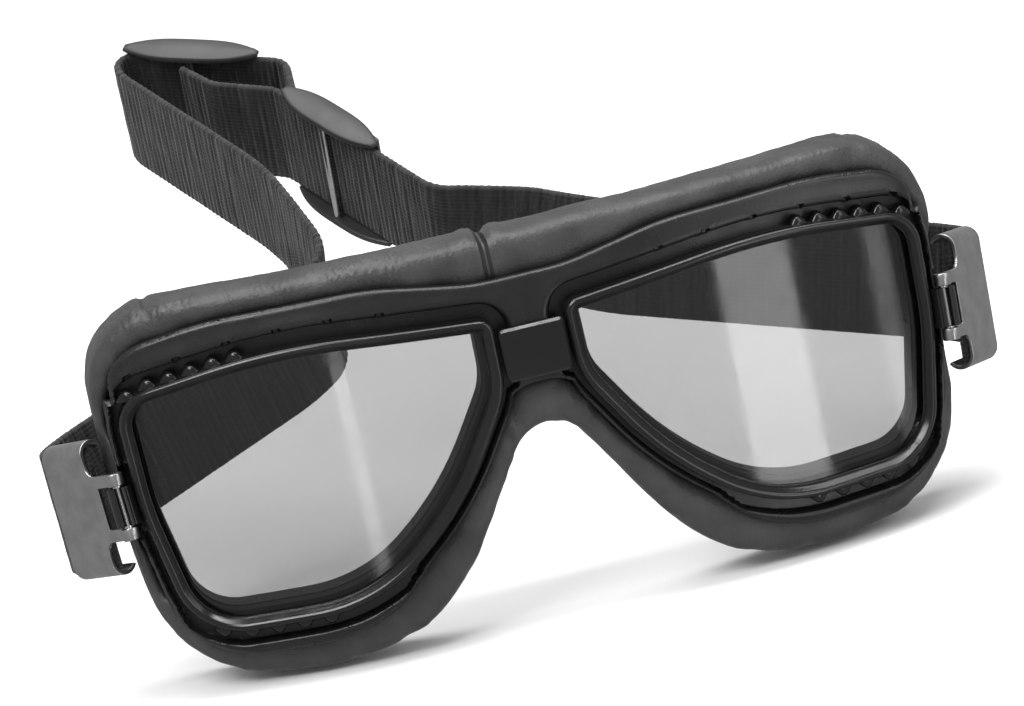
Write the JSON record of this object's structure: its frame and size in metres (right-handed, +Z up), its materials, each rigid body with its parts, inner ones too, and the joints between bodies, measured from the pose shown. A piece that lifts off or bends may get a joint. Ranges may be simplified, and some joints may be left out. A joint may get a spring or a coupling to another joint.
{
  "type": "motorcycle goggles",
  "caption": "Motorcycle goggles with a wrapped two-eye frame, clear lenses, padded face cushion, hinged strap clips and an elastic strap with sliding adjusters.",
  "frame": {"origin": "on the plane of symmetry, where the front surface of the lens rims crosses it, level with the nose bridge", "axes": "+X to the right for someone facing the goggles, -Y the way the wearer looks, +Z up; left_ names are on the -X side"},
  "size_m": [0.1966, 0.1657, 0.1134],
  "materials": {
    "frame_black": "satin black moulded plastic",
    "rim_black": "glossy black moulded plastic",
    "lens_clear": "clear polycarbonate",
    "gasket_rubber": "matte soft rubber",
    "cushion_leatherette": "satin black leatherette with fine wrinkles",
    "foam": "open-cell foam",
    "strap_elastic": "ribbed woven elastic",
    "slider_plastic": "satin moulded plastic",
    "clip_steel": "satin plated sheet steel",
    "pin_steel": "bright steel"
  },
  "bodies": {
    "goggles": {"frame": "frame_black", "bridge_plate": "rim_black", "cushion_cover": "cushion_leatherette", "cushion_foam": "foam", "left_lens_rim": "rim_black", "left_lens": "lens_clear", "left_lens_gasket": "gasket_rubber", "left_upper_vent_foam": "foam", "left_lower_vent_foam": "foam", "right_lens_rim": "rim_black", "right_lens": "lens_clear", "right_lens_gasket": "gasket_rubber", "right_upper_vent_foam": "foam", "right_lower_vent_foam": "foam", "left_strap": "strap_elastic", "right_strap": "strap_elastic"},
    "left_clip": {"left_clip_plate": "clip_steel", "left_clip_bar": "pin_steel", "left_strap_end": "strap_elastic"},
    "right_clip": {"right_clip_plate": "clip_steel", "right_clip_bar": "pin_steel", "right_strap_end": "strap_elastic"},
    "rear_slider_body": {"rear_slider": "slider_plastic", "rear_slider_pin": "pin_steel"},
    "front_slider_body": {"front_slider": "slider_plastic", "front_slider_pin": "pin_steel"}
  },
  "joints": [
    {"name": "right_clip_hinge", "type": "hinge", "parent": "goggles", "child": "right_clip", "pos_m": [0.0846, 0.0175, -0.014], "axis": [-0.0518, -0.1377, -0.9891], "range_deg": [-2, 30]},
    {"name": "left_clip_hinge", "type": "hinge", "parent": "goggles", "child": "left_clip", "pos_m": [-0.0846, 0.0175, -0.014], "axis": [-0.0518, 0.1377, 0.9891], "range_deg": [-2, 30]},
    {"name": "rear_slider_travel", "type": "slide", "parent": "goggles", "child": "rear_slider_body", "axis": [0.9003, -0.3843, -0.2043], "range_m": [0, 0.007]},
    {"name": "front_slider_travel", "type": "slide", "parent": "goggles", "child": "front_slider_body", "axis": [0.4772, -0.7759, -0.4126], "range_m": [0, 0.01]}
  ]
}
